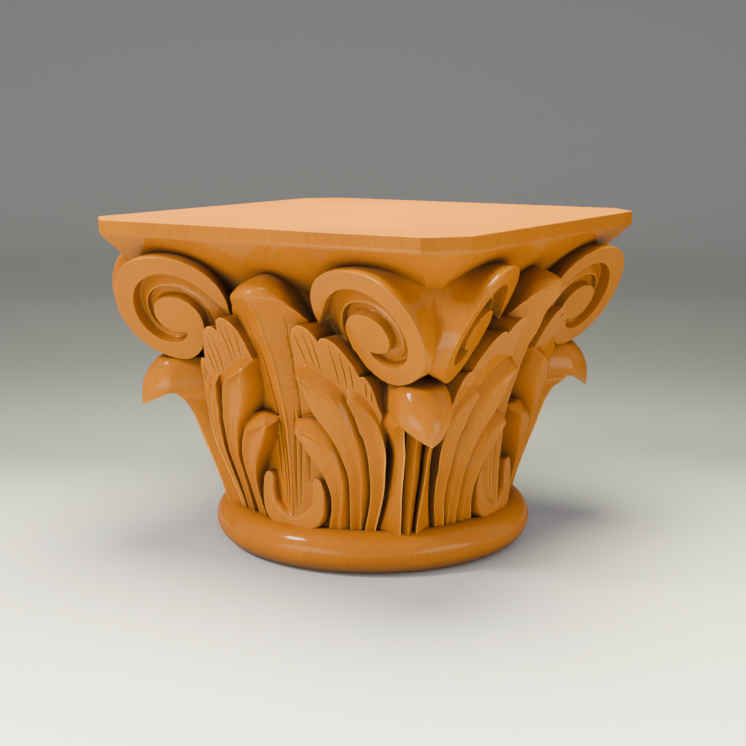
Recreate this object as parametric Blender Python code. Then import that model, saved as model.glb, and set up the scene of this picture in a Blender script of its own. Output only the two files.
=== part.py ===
"""A carved wooden capital for a column, one closed solid in metres, +Z up.

The capital stands on the flat underside of its foot ring, centred on the Z axis. It is worked
out as one eighth, between the middle of a side and the corner's diagonal, which is mirrored and
turned to make the whole.

Carving is laid out in shares, as (side, out, up): side runs along the face from its middle, out
runs from the axis towards the face, up runs from the foot. One share is half of the top board's
width when the capital has its usual proportions. The function place turns shares into metres, so
that the carving always fills the height between the ring and the board, and spreads from the one
to the other.
"""

import math

import bmesh
import bpy
import numpy as np
from mathutils import Vector

# The top board
BOARD_WIDTH = 0.300
CORNER_CUT = 0.0223
FASCIA = 0.0098
FASCIA_ROUND = 0.0045
SLOPE_RUN = 1.05

# The whole and its foot ring
TOTAL_HEIGHT = 0.2385
RING_CENTRE_RADIUS = 0.1026
RING_TUBE_RADIUS = 0.015

# Levels that the carving's shares are counted between
SHARE_RING_RADIUS = 0.684
SHARE_CROWN = 0.200
SHARE_EAVES = 1.5245

# The foot of the leaves, hidden in the ring, and how far all that is carved runs into the bell
SHARE_FOOT = 0.13
INTO_BELL = 0.06

# How finely curves are cut into flats
RING_STEPS = 9
AROUND_STEPS = 6
LEAF_STEPS = 7
LOBE_STEPS = 5
HOOD_STEPS = 5
SCROLL_STEPS = 20
GROOVE_STEPS = 9
SPLINE_STEPS = 24

# Points this close are one point, and edges between faces flatter than this are left out
SAME_POINT = 0.00002
NEARLY_FLAT = math.radians(3.5)

# The scroll's flat face: turned about the vertical, leaning out at the top, this far from the axis
FACE_TURN = math.radians(10.9)
FACE_LEAN = math.radians(28.1)
FACE_DISTANCE = 0.1187
EYE_ALONG = 0.690
EYE_UP = 1.385


def place(side, out, up):
    """The point in metres of a carving point given in shares."""
    crown = 2 * RING_TUBE_RADIUS
    eaves = TOTAL_HEIGHT - FASCIA
    height = (up - SHARE_CROWN) / (SHARE_EAVES - SHARE_CROWN)
    spread = min(max(height, 0.0), 1.0)
    at_ring = RING_CENTRE_RADIUS / SHARE_RING_RADIUS
    at_board = BOARD_WIDTH / 2
    scale = at_ring + (at_board - at_ring) * spread
    return Vector((side * scale, -out * scale, crown + (eaves - crown) * height))


def spline(points, steps):
    """steps + 1 places at even distances along a smooth curve through the points."""
    given = [Vector(point) for point in points]
    ends = [2 * given[0] - given[1]] + given + [2 * given[-1] - given[-2]]
    fine = []
    for before, start, end, after in zip(ends, ends[1:], ends[2:], ends[3:]):
        for step in range(SPLINE_STEPS):
            t = step / SPLINE_STEPS
            fine.append(0.5 * (2 * start + (end - before) * t
                               + (2 * before - 5 * start + 4 * end - after) * t ** 2
                               + (3 * start - before - 3 * end + after) * t ** 3))
    fine.append(given[-1])
    gone = np.cumsum([0.0] + [(b - a).length for a, b in zip(fine, fine[1:])])
    wanted = np.linspace(0.0, gone[-1], steps + 1)
    columns = [np.interp(wanted, gone, [point[axis] for point in fine])
               for axis in range(len(given[0]))]
    return [tuple(float(value) for value in spot) for spot in zip(*columns)]


def net(rows, across_steps, along_steps):
    """A finer net of points, smooth both ways, through the points of a coarse one."""
    wide = [spline(row, across_steps) for row in rows]
    columns = [spline(column, along_steps) for column in zip(*wide)]
    return [list(row) for row in zip(*columns)]


def between(a, b, share):
    return tuple(x + (y - x) * share for x, y in zip(a, b))


def new_object(name, mesh_maker):
    mesh = bpy.data.meshes.new(name)
    mesh_maker.to_mesh(mesh)
    mesh_maker.free()
    thing = bpy.data.objects.new(name, mesh)
    bpy.context.collection.objects.link(thing)
    return thing


def skin(name, rows):
    """A closed body through rows of points in metres, each row a ring, both ends filled."""
    work = bmesh.new()
    rings = [[work.verts.new(point) for point in row] for row in rows]
    count = len(rings[0])
    for ring, following in zip(rings, rings[1:]):
        for i in range(count):
            j = (i + 1) % count
            work.faces.new((ring[i], ring[j], following[j], following[i]))
    work.faces.new(rings[0])
    work.faces.new(rings[-1])
    bmesh.ops.remove_doubles(work, verts=work.verts, dist=SAME_POINT / 10)
    bmesh.ops.triangulate(work, faces=work.faces, ngon_method="EAR_CLIP")
    bmesh.ops.recalc_face_normals(work, faces=work.faces)
    return new_object(name, work)


def shares_skin(name, rows):
    return skin(name, [[place(*point) for point in row] for row in rows])


def combine(first, second, operation):
    """Joins or cuts two bodies into the first, and removes the second."""
    change = first.modifiers.new("combine", "BOOLEAN")
    change.operation = operation
    change.solver = "EXACT"
    change.object = second
    graph = bpy.context.evaluated_depsgraph_get()
    result = bpy.data.meshes.new_from_object(first.evaluated_get(graph))
    work = bmesh.new()
    work.from_mesh(result)
    bmesh.ops.remove_doubles(work, verts=work.verts, dist=SAME_POINT / 10)
    work.to_mesh(result)
    work.free()
    first.modifiers.clear()
    old = first.data
    first.data = result
    bpy.data.meshes.remove(old)
    bpy.data.objects.remove(second)


def leaf_out(side, up):
    """How far out the rims and crests of the plumes lie."""
    rise = up - SHARE_CROWN
    hollow = 0.42 + 0.9 * max(0.5 - up, 0.0)
    return 0.68 + 0.176 * rise + 0.137 * rise ** 2 - hollow * side ** 2


def lobe_out(side, up):
    """How far out the flat faces of the lobes lie."""
    return 0.69 + 0.2975 * max(up - 0.25, 0.0) ** 2.5 - 0.157 * side ** 2


def bell_radius(up):
    return 0.60 + 0.06 * (up - 0.15) + 0.115 * max(up - 0.35, 0.0) ** 2


def inside_bell(side, up):
    """How far out a point hidden inside the bell lies."""
    radius = bell_radius(up) - INTO_BELL
    return math.sqrt(max(radius ** 2 - side ** 2, 0.01))


def turned_bell():
    """The foot ring and the bell, as a slice a little wider than one eighth."""
    radius, tube = RING_CENTRE_RADIUS, RING_TUBE_RADIUS
    profile = [(radius, 0.0)]
    for step in range(1, RING_STEPS + 1):
        angle = math.radians(-90 + 225 * step / RING_STEPS)
        profile.append((radius + tube * math.cos(angle), tube + tube * math.sin(angle)))
    for up in (0.35, 0.75, 1.05, 1.38):
        point = place(0.0, bell_radius(up), up)
        profile.append((-point.y, point.z))
    first, last = math.radians(-8), math.radians(53)
    rows = []
    for level, (out, up) in enumerate(profile):
        row = [Vector((-0.02, 0.05, profile[-1][1] * level / (len(profile) - 1)))]
        for step in range(AROUND_STEPS + 1):
            turn = first + (last - first) * step / AROUND_STEPS
            row.append(Vector((out * math.sin(turn), -out * math.cos(turn), up)))
        rows.append(row)
    return skin("bell", rows)


def top_board():
    """The top board: an eight-sided slab with a rounded edge and a sloped underside."""
    half = BOARD_WIDTH / 2
    eaves = TOTAL_HEIGHT - FASCIA
    slant = math.atan(SLOPE_RUN)
    tangent = FASCIA_ROUND * math.tan(slant / 2)
    levels = [(0.0, TOTAL_HEIGHT), (0.0, eaves + tangent)]
    for step in (1, 2):
        turn = slant * step / 3
        inset = FASCIA_ROUND * (1 - math.cos(turn))
        drop = FASCIA_ROUND * math.sin(turn)
        levels.append((inset, eaves + tangent - drop))
    run = tangent * math.sin(slant)
    levels.append((run, eaves - run / SLOPE_RUN))
    meeting = CORNER_CUT / (2 - math.sqrt(2))
    levels.append((meeting, eaves - meeting / SLOPE_RUN))
    deep = 0.55 * half
    levels.append((deep, eaves - deep / SLOPE_RUN))
    past = -0.012
    rows = []
    for inset, up in levels:
        out = half - inset
        side = min(half - CORNER_CUT - (math.sqrt(2) - 1) * inset, out - SAME_POINT / 10)
        corners = [(past, -out), (side, -out), (out, -side), (out, -past), (past, -past)]
        rows.append([Vector((x, y, up)) for x, y in corners])
    return skin("board", rows)


def plume(name, rim, crest, edge, nose_depth, flare):
    """One blade: a sharp rim, a hollow, a soft crest and a roll down to its outer edge.

    rim and crest run from the foot to the blade's nose, edge from the foot to its tip, all as
    (side, up). The nose rolls back to the tip. The wall under the rim spreads sideways by flare
    for each share that it runs back."""
    rims = spline(rim, LEAF_STEPS)
    crests = spline(crest, LEAF_STEPS)
    edges = spline(edge, LEAF_STEPS)
    rows = []
    for step, (inner, ridge, outer) in enumerate(zip(rims, crests, edges)):
        along = step / LEAF_STEPS
        hollow = 0.028 * math.sin(math.pi * min(1.0, 1.6 * (1 - along)) / 2)
        ridge_out = leaf_out(*ridge)
        outer_out = leaf_out(*outer) - nose_depth
        inner_out = leaf_out(*inner)
        middle = between(inner, ridge, 0.5)
        shoulder = between(ridge, outer, 0.55)
        shoulder_out = ridge_out + (outer_out - ridge_out) * 0.22
        root, root_out = (inner, inner_out) if along < 1 else (outer, outer_out)
        deep = inside_bell(*root)
        rows.append([
            (root[0] - flare * (root_out - deep), deep, root[1]),
            (inner[0], inner_out, inner[1]),
            (middle[0], (inner_out + ridge_out) / 2 - hollow, middle[1]),
            (ridge[0], ridge_out, ridge[1]),
            (shoulder[0], shoulder_out, shoulder[1]),
            (outer[0], outer_out, outer[1]),
            (outer[0], inside_bell(*outer), outer[1]),
        ])
    return shares_skin(name, rows)


def plumes():
    """The three blades of a half side, from the one nearest the lobes to the lowest."""
    high = plume(
        "high_plume",
        [(0.265, SHARE_FOOT), (0.288, 0.30), (0.308, 0.46), (0.284, 0.60), (0.225, 0.73),
         (0.181, 0.86), (0.156, 0.935)],
        [(0.310, SHARE_FOOT), (0.345, 0.34), (0.372, 0.56), (0.362, 0.69), (0.325, 0.80),
         (0.250, 0.885), (0.156, 0.937)],
        [(0.362, SHARE_FOOT), (0.402, 0.36), (0.424, 0.56), (0.415, 0.70), (0.375, 0.83),
         (0.300, 0.925), (0.220, 0.980), (0.117, 0.985)],
        0.07, 0.55)
    middle = plume(
        "middle_plume",
        [(0.338, SHARE_FOOT), (0.376, 0.32), (0.408, 0.50), (0.411, 0.60), (0.392, 0.73),
         (0.362, 0.845)],
        [(0.380, SHARE_FOOT), (0.425, 0.32), (0.475, 0.48), (0.492, 0.60), (0.478, 0.72),
         (0.440, 0.80), (0.362, 0.847)],
        [(0.405, SHARE_FOOT), (0.462, 0.34), (0.510, 0.48), (0.530, 0.60), (0.522, 0.72),
         (0.480, 0.82), (0.410, 0.880), (0.345, 0.893)],
        0.06, 0.0)
    low = plume(
        "low_plume",
        [(0.178, SHARE_FOOT), (0.197, 0.27), (0.208, 0.37), (0.190, 0.47), (0.150, 0.545),
         (0.104, 0.626), (0.078, 0.672)],
        [(0.226, SHARE_FOOT), (0.258, 0.34), (0.272, 0.46), (0.250, 0.58), (0.190, 0.64),
         (0.125, 0.665), (0.078, 0.674)],
        [(0.277, SHARE_FOOT), (0.304, 0.32), (0.318, 0.46), (0.298, 0.59), (0.238, 0.69),
         (0.140, 0.725), (0.051, 0.690)],
        0.055, 0.35)
    return [high, middle, low]


def lobes():
    """The flat leaf edge with three round lobes, above the plumes."""
    first = [(0.117, 0.975), (0.132, 1.06), (0.152, 1.13), (0.205, 1.174), (0.250, 1.155),
             (0.272, 1.108)]
    second = [(0.272, 1.108), (0.315, 1.124), (0.365, 1.088), (0.405, 1.010), (0.424, 0.952)]
    third = [(0.424, 0.952), (0.448, 0.945), (0.470, 0.895), (0.482, 0.830), (0.496, 0.775)]
    low_edge = [(0.117, 0.90), (0.20, 0.86), (0.30, 0.78), (0.40, 0.70), (0.46, 0.66)]
    top = spline(first, LOBE_STEPS + 1)
    top += spline(second, LOBE_STEPS)[1:]
    top += spline(third, LOBE_STEPS - 1)[1:]
    low = spline(low_edge, len(top) - 1)
    rows = []
    for above, below in zip(top, low):
        row = [(above[0], inside_bell(*above), above[1])]
        for share in (0.0, 0.45, 1.0):
            point = between(above, below, share)
            row.append((point[0], lobe_out(*point), point[1]))
        row.append((below[0], inside_bell(*below), below[1]))
        rows.append(row)
    return shares_skin("lobes", rows)


def stem():
    """The pointed leaf in the middle of a side: two flanks that meet in a sharp arris."""
    arris = [(0.692, SHARE_FOOT), (0.697, 0.36), (0.710, 0.52), (0.725, 0.66), (0.762, 0.80),
             (0.840, 1.013), (0.890, 1.097), (0.921, 1.168), (0.997, 1.266)]
    half_width = 0.205
    fall = 0.43
    past = 0.04
    rows = []
    for out, up in spline(arris, LEAF_STEPS + 2):
        edge = half_width - 0.85 * max(up - 1.19, 0.0)
        rows.append([
            (-past, out + fall * past, up),
            (edge, out - fall * edge, up),
            (edge, inside_bell(edge, up), up),
            (-past, inside_bell(edge, up), up),
        ])
    return shares_skin("stem", rows)


def hood():
    """The rolled top of the middle leaf, from its crease back to the board's slope."""
    half_rows = [
        [(0.0, 0.990, 1.264), (0.058, 0.972, 1.266), (0.100, 0.955, 1.267), (0.136, 0.934, 1.262),
         (0.160, 0.903, 1.238), (0.196, 0.853, 1.190)],
        [(0.0, 1.010, 1.291), (0.060, 0.992, 1.292), (0.108, 0.970, 1.288), (0.143, 0.945, 1.275),
         (0.163, 0.910, 1.243), (0.198, 0.858, 1.192)],
        [(0.0, 0.998, 1.325), (0.056, 0.985, 1.322), (0.104, 0.962, 1.310), (0.140, 0.938, 1.288),
         (0.163, 0.905, 1.247), (0.199, 0.855, 1.193)],
        [(0.0, 0.954, 1.355), (0.054, 0.945, 1.350), (0.100, 0.925, 1.333), (0.134, 0.905, 1.300),
         (0.156, 0.880, 1.252), (0.192, 0.840, 1.195)],
        [(0.0, 0.883, 1.380), (0.045, 0.876, 1.368), (0.085, 0.860, 1.341), (0.115, 0.840, 1.302),
         (0.138, 0.815, 1.250), (0.172, 0.780, 1.195)],
        [(0.0, 0.700, 1.366), (0.045, 0.700, 1.347), (0.085, 0.690, 1.314), (0.108, 0.670, 1.281),
         (0.126, 0.645, 1.236), (0.150, 0.620, 1.188)],
    ]
    rows = []
    for level, half in enumerate(net(half_rows, HOOD_STEPS, HOOD_STEPS)):
        edge = half[-1]
        right = half + [(edge[0], 0.62 - 0.02 * level / HOOD_STEPS, 1.10)]
        left = [(-side, out, up) for side, out, up in reversed(right[1:])]
        rows.append(left + right)
    return shares_skin("hood", rows)


def loop_strap():
    """The loop of the strap that the middle leaf stands in, on top of the ring."""
    outer = [(-0.06, 0.182), (0.0, 0.180), (0.060, 0.183), (0.108, 0.191), (0.147, 0.215),
             (0.168, 0.262), (0.174, 0.325), (0.168, 0.385), (0.155, 0.420), (0.138, 0.434)]
    inner = [(-0.06, 0.254), (0.0, 0.247), (0.030, 0.256), (0.065, 0.277), (0.092, 0.303),
             (0.102, 0.345), (0.103, 0.385), (0.112, 0.418), (0.129, 0.434)]
    back = 0.60
    rows = []
    for out_point, in_point in zip(spline(outer, LEAF_STEPS + 1), spline(inner, LEAF_STEPS + 1)):
        row = [(out_point[0], back, out_point[1])]
        for side, up in (out_point, in_point):
            row.append((side, 0.700 - 0.4 * side ** 2, up))
        row.append((in_point[0], back, in_point[1]))
        rows.append(row)
    return shares_skin("loop_strap", rows)


def on_face(along, upward, depth):
    """The share point at a place on the scroll's face, or depth behind it."""
    turn, lean = FACE_TURN, FACE_LEAN
    right = Vector((math.cos(turn), math.sin(turn), 0.0))
    rise = Vector((-math.sin(turn) * math.sin(lean), math.cos(turn) * math.sin(lean),
                   math.cos(lean)))
    forward = Vector((-math.sin(turn) * math.cos(lean), math.cos(turn) * math.cos(lean),
                      -math.sin(lean)))
    return right * along + rise * upward + forward * (FACE_DISTANCE - depth)


def around_eye(points, steps):
    """Places on the scroll's face along a smooth curve given as (degrees, radius) from the eye."""
    spots = []
    for angle, radius in spline(points, steps):
        turn = math.radians(angle)
        spots.append((EYE_ALONG + radius * math.cos(turn), EYE_UP + radius * math.sin(turn)))
    return spots


def scroll_block():
    """The scroll's body: a flat spiral face, and sides that dip in a little behind it."""
    edge = around_eye([(174, 0.300), (160, 0.312), (140, 0.320), (115, 0.314), (90, 0.305),
                       (60, 0.312), (30, 0.301), (2, 0.288), (-33, 0.280), (-62, 0.274),
                       (-90, 0.266), (-114, 0.225), (-141, 0.168)], SCROLL_STEPS)
    edge += [(0.52, 1.22), (0.42, 1.25)]
    deepest_dip = 0.14
    rows = []
    for depth, dip, whole in ((0.0, 0.0, 1.0), (0.06, 0.6, 1.0), (0.14, 1.0, 1.0),
                              (0.26, 0.86, 1.0), (0.48, 0.6, 0.45)):
        row = []
        for along, upward in edge:
            angle = math.degrees(math.atan2(upward - EYE_UP, along - EYE_ALONG))
            upper = min(max((angle + 20) / 75, 0.0), 1.0)
            size = whole * (1 - deepest_dip * dip * upper)
            row.append(place(*on_face(EYE_ALONG + (along - EYE_ALONG) * size,
                                      EYE_UP + (upward - EYE_UP) * size, depth)))
        rows.append(row)
    return skin("scroll", rows)


def scroll_groove():
    """The cutter for the spiral groove: a steep outer wall, a ridge, and a dip before the eye."""
    outer = around_eye([(196, 0.345), (180, 0.300), (168, 0.262), (150, 0.240), (120, 0.222),
                        (90, 0.217), (60, 0.208), (30, 0.196), (0, 0.188), (-30, 0.184),
                        (-60, 0.178), (-85, 0.165), (-98, 0.135), (-107, 0.112)], GROOVE_STEPS)
    inner = around_eye([(224, 0.195), (205, 0.148), (185, 0.130), (165, 0.113), (140, 0.098),
                        (115, 0.092), (90, 0.088), (60, 0.090), (30, 0.098), (0, 0.101),
                        (-30, 0.104), (-60, 0.104), (-85, 0.104), (-107, 0.110)], GROOVE_STEPS)
    above = -0.03
    section = [(0.0, above), (0.0, 0.0), (0.10, 0.060), (0.45, 0.028), (0.86, 0.050), (1.0, 0.0),
               (1.0, above)]
    rows = []
    for step, (far, near) in enumerate(zip(outer, inner)):
        shallow = min(1.0, (GROOVE_STEPS - step) / 3)
        row = []
        for share, depth in section:
            along, upward = between(far, near, share)
            row.append(place(*on_face(along, upward, depth * shallow if depth > 0 else depth)))
        rows.append(row)
    return skin("groove", rows)


def scroll():
    """One corner scroll with its groove."""
    block = scroll_block()
    combine(block, scroll_groove(), "DIFFERENCE")
    return block


def corner(out, across, up):
    """Shares from a place counted along the corner's diagonal and across it."""
    return ((out - across) / math.sqrt(2), (out + across) / math.sqrt(2), up)


def outer_strap():
    """The strap beside the corner's middle, whose front edge springs up into the curled tip."""
    front = [(1.010, 0.104, 0.790), (0.967, 0.118, 0.748), (0.912, 0.110, 0.710),
             (0.869, 0.095, 0.667), (0.830, 0.085, 0.610), (0.795, 0.083, 0.528),
             (0.750, 0.088, 0.400), (0.705, 0.100, 0.283), (0.668, 0.114, 0.205),
             (0.640, 0.120, SHARE_FOOT)]
    inside = [(1.010, 0.076, 0.795), (0.985, 0.078, 0.765), (0.940, 0.072, 0.720),
              (0.900, 0.060, 0.650), (0.878, 0.052, 0.590), (0.845, 0.050, 0.500),
              (0.800, 0.046, 0.390), (0.762, 0.039, 0.283), (0.738, 0.036, 0.205),
              (0.715, 0.036, SHARE_FOOT)]
    deep, side = 0.45, 0.150
    rows = []
    for low, near in zip(spline(front, LEAF_STEPS), spline(inside, LEAF_STEPS)):
        rows.append([
            corner(deep, near[1], near[2]),
            corner(*near),
            corner(*low),
            corner((low[0] + 0.62) / 2, low[1] + 0.025, low[2]),
            corner(0.60, side, low[2]),
            corner(deep, side, low[2]),
        ])
    return shares_skin("outer_strap", rows)


def curled_tip():
    """The curled tip of the corner leaf: a round cap that is hollow underneath."""
    crown = [(0.960, 0.0, 0.955), (1.044, 0.0, 0.930), (1.099, 0.0, 0.872), (1.128, 0.0, 0.805),
             (1.136, 0.0, 0.752), (1.132, 0.0, 0.690)]
    flank = [(0.930, 0.095, 0.930), (0.960, 0.114, 0.895), (0.990, 0.121, 0.850),
             (1.010, 0.120, 0.800), (1.020, 0.110, 0.762)]
    steps = LEAF_STEPS - 1
    middles = spline(crown, steps) + [(1.090, 0.0, 0.735), (0.960, 0.0, 0.800)]
    sides = spline(flank, steps) + [(1.000, 0.095, 0.775), (0.920, 0.080, 0.800)]
    back = 0.62
    rows = []
    for step, (middle, side) in enumerate(zip(middles, sides)):
        pointed = 0.8 * min(1.0, step / steps) ** 2
        row = []
        for share in (-0.35, 0.0, 0.35, 0.7, 1.0):
            turn = share * math.pi / 2
            across = math.sin(turn) + (share - math.sin(turn)) * pointed
            towards = math.cos(turn) + (1 - abs(share) - math.cos(turn)) * pointed
            row.append(corner(side[0] + (middle[0] - side[0]) * (math.cos(turn) + towards) / 2,
                              side[1] * across,
                              side[2] + (middle[2] - side[2]) * towards))
        row.append(corner(back, side[1] + 0.01, side[2]))
        row.append(corner(back, -0.06, side[2]))
        rows.append(row)
    return shares_skin("curled_tip", rows)


def middle_strap():
    """The strap on the corner's diagonal, under the curled tip."""
    front = [(0.720, SHARE_FOOT), (0.775, 0.34), (0.825, 0.48), (0.850, 0.58), (0.870, 0.66),
             (0.90, 0.80)]
    back, arris, past = 0.45, 0.033, 0.4
    rows = []
    for out, up in spline(front, LEAF_STEPS - 3):
        half = 0.024 + 0.027 * (up - SHARE_FOOT)
        rows.append([corner(out + arris * past, -half * past, up),
                     corner(out - arris, half, up), corner(back, half, up),
                     corner(back, -half * past, up)])
    return shares_skin("middle_strap", rows)


def one_eighth():
    """All carving of one eighth joined to the bell and the board, cut to its two planes."""
    body = turned_bell()
    pieces = [top_board(), stem(), hood(), lobes(), *plumes(), loop_strap(), scroll(),
              outer_strap(), curled_tip(), middle_strap()]
    for piece in pieces:
        combine(body, piece, "UNION")
    work = bmesh.new()
    work.from_mesh(body.data)
    bpy.data.objects.remove(body)
    bmesh.ops.remove_doubles(work, verts=work.verts, dist=SAME_POINT)
    diagonal = Vector((1, 1, 0)).normalized()
    for outward in (Vector((-1, 0, 0)), diagonal):
        everything = work.verts[:] + work.edges[:] + work.faces[:]
        bmesh.ops.bisect_plane(work, geom=everything, dist=SAME_POINT, plane_co=(0, 0, 0),
                               plane_no=outward, clear_outer=True)
    for vert in work.verts:
        if abs(vert.co.x) < 2 * SAME_POINT:
            vert.co.x = 0.0
        if abs(vert.co.x + vert.co.y) < 2 * SAME_POINT:
            vert.co.y = -vert.co.x
    bmesh.ops.dissolve_limit(work, angle_limit=NEARLY_FLAT, verts=work.verts, edges=work.edges)
    bmesh.ops.triangulate(work, faces=work.faces)
    return work


def whole_from_eighth(work):
    """Mirrors the eighth into one side, and turns the side to all four."""
    for change in ("mirror", "half_turn", "quarter_turn"):
        copied = bmesh.ops.duplicate(work, geom=work.verts[:] + work.edges[:] + work.faces[:])
        verts = [item for item in copied["geom"] if isinstance(item, bmesh.types.BMVert)]
        faces = [item for item in copied["geom"] if isinstance(item, bmesh.types.BMFace)]
        for vert in verts:
            x, y, z = vert.co
            if change == "mirror":
                vert.co = (-x, y, z)
            elif change == "half_turn":
                vert.co = (-x, -y, z)
            else:
                vert.co = (-y, x, z)
        if change == "mirror":
            bmesh.ops.reverse_faces(work, faces=faces)
        bmesh.ops.remove_doubles(work, verts=work.verts, dist=SAME_POINT / 10)
    bmesh.ops.recalc_face_normals(work, faces=work.faces)
    return work


def lacquered_wood():
    material = bpy.data.materials.new("lacquered_wood")
    material.use_nodes = True
    shader = material.node_tree.nodes["Principled BSDF"]
    shader.inputs["Base Color"].default_value = (0.68, 0.30, 0.06, 1.0)
    shader.inputs["Roughness"].default_value = 0.3
    shader.inputs["Metallic"].default_value = 0.0
    return material


def main():
    for thing in list(bpy.data.objects):
        bpy.data.objects.remove(thing)
    capital = new_object("carved_capital", whole_from_eighth(one_eighth()))
    capital.data.materials.append(lacquered_wood())
    capital.data.shade_smooth()
    capital.data.set_sharp_from_angle(angle=math.radians(30))


main()
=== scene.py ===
# %% [markdown]
# # A carved wooden capital in amber lacquer
#
# The object is the top of a small wooden column, carved from one block: a square board with cut
# corners, a round foot ring, and between them leaves, scrolls and a curled leaf tip at each
# corner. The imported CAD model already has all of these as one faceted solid. This script puts a
# finely carved surface of the same form in its place, and finishes it in wood under a clear gloss
# lacquer.

# %% Load the frame
import math

import bmesh
import bpy
import numpy as np
from mathutils import Euler, Matrix, Vector


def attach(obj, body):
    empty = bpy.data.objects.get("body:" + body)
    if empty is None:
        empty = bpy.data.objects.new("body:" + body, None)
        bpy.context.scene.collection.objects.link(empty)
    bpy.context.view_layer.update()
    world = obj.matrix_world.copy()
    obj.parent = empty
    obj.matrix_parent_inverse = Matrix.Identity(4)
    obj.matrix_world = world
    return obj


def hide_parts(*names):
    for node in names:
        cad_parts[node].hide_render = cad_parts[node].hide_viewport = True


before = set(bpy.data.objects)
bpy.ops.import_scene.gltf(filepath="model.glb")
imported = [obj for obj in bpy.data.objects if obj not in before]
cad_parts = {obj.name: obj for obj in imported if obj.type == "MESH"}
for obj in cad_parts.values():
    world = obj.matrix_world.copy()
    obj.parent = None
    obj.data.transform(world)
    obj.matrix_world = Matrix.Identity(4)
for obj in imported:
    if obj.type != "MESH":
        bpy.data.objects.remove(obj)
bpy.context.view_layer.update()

# %% [markdown]
# The main sizes are read from the CAD solid, so that the carved surface always fits it: the
# height, the width of the top board and its cut corners, and the radius of the flat underside of
# the foot ring.

# %% Measure the CAD solid
NEARLY = 0.00001
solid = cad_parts["carved_capital"]
corners = np.array([vert.co[:] for vert in solid.data.vertices])
HEIGHT = corners[:, 2].max()
top = corners[corners[:, 2] > HEIGHT - NEARLY]
HALF_BOARD = top[:, 0].max()
CORNER_CUT = HALF_BOARD - top[top[:, 1] < NEARLY - HALF_BOARD][:, 0].max()
underside = corners[corners[:, 2] < NEARLY]
RING_RADIUS = np.hypot(underside[:, 0], underside[:, 1]).max()
print("height", round(HEIGHT, 4), "half board", round(HALF_BOARD, 4),
      "corner cut", round(CORNER_CUT, 4), "ring", round(RING_RADIUS, 4))

# %% [markdown]
# Lesser sizes in metres follow the CAD model: the ring's rounding, the fascia, which is the
# board's upright edge, the rounding below it, and the slope's run inwards for each metre down.

# %% Lesser sizes
RING_TUBE = 0.015
FASCIA = 0.0098
FASCIA_ROUND = 0.0045
SLOPE_RUN = 1.05
EAVES = HEIGHT - FASCIA
print("eaves of the board at", round(EAVES, 4))

# %% [markdown]
# Carving is easier to lay out in shares of the whole than in metres. A point is (side, out, up):
# side along the face from its middle, out from the axis towards the face, and up from the foot.
# One share is half of the board's width. The function place turns such points into metres, and
# stretches the carving between the crown of the ring and the eaves of the board. The bodies start
# at SHARE_FOOT, below that crown, so that they stand well inside the ring.

# %% Shares and curves
SHARE_RING, SHARE_CROWN, SHARE_EAVES = 0.684, 0.200, 1.5245
SHARE_FOOT = 0.13
print("one share:", round(1000 * HALF_BOARD, 1), "mm")


def place(points):
    """Points in metres from an array of carving points in shares."""
    points = np.asarray(points, float)
    side, out, up = points[..., 0], points[..., 1], points[..., 2]
    height = (up - SHARE_CROWN) / (SHARE_EAVES - SHARE_CROWN)
    at_ring = RING_RADIUS / SHARE_RING
    scale = at_ring + (HALF_BOARD - at_ring) * np.clip(height, 0, 1)
    crown = 2 * RING_TUBE
    return np.stack([side * scale, -out * scale, crown + (EAVES - crown) * height], axis=-1)


def spline(points, steps):
    """steps + 1 places at even distances along a smooth curve through the points."""
    given = np.array(points, float)
    ends = np.vstack([2 * given[0] - given[1], given, 2 * given[-1] - given[-2]])
    t = np.linspace(0, 1, 24, endpoint=False)[:, None]
    runs = []
    for before, start, end, after in zip(ends, ends[1:], ends[2:], ends[3:]):
        runs.append(0.5 * (2 * start + (end - before) * t
                           + (2 * before - 5 * start + 4 * end - after) * t ** 2
                           + (3 * start - before - 3 * end + after) * t ** 3))
    fine = np.vstack(runs + [given[-1:]])
    gone = np.r_[0, np.cumsum(np.linalg.norm(np.diff(fine, axis=0), axis=1))]
    wanted = np.linspace(0, gone[-1], steps + 1)
    return np.column_stack([np.interp(wanted, gone, column) for column in fine.T])


def net(rows, across_steps, along_steps):
    """A fine net of points, smooth both ways, through the points of a coarse one."""
    wide = np.array([spline(row, across_steps) for row in rows])
    columns = np.array([spline(wide[:, i], along_steps) for i in range(across_steps + 1)])
    return columns.transpose(1, 0, 2)


def mix(a, b, share):
    """Between two arrays of points, with share counted on a new last axis but one."""
    share = np.asarray(share)[:, None]
    return a[:, None, :] * (1 - share) + b[:, None, :] * share


def points_at(side, out, up):
    """Points from three arrays, or numbers where a coordinate is the same for all."""
    return np.stack(np.broadcast_arrays(side, out, up), axis=-1)


def pushed_out(spots, out):
    """Points from (side, up) spots and how far out they lie."""
    return points_at(spots[..., 0], out, spots[..., 1])


# %% [markdown]
# Every form of the carving is made as a closed body of its own: a stack of rings of points, each
# joined to the next by four-sided faces, with both ends filled. Bodies may run into each other,
# because a later step melts them into one skin.

# %% Closed bodies from rings of points
SAME_POINT = 0.000001


def add_object(name, data):
    """A new object in the scene, made of a mesh, a lamp or a camera."""
    thing = bpy.data.objects.new(name, data)
    bpy.context.collection.objects.link(thing)
    return thing


def faces_in(*things):
    """How many faces the bodies have together."""
    return sum(len(thing.data.polygons) for thing in things)


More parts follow.
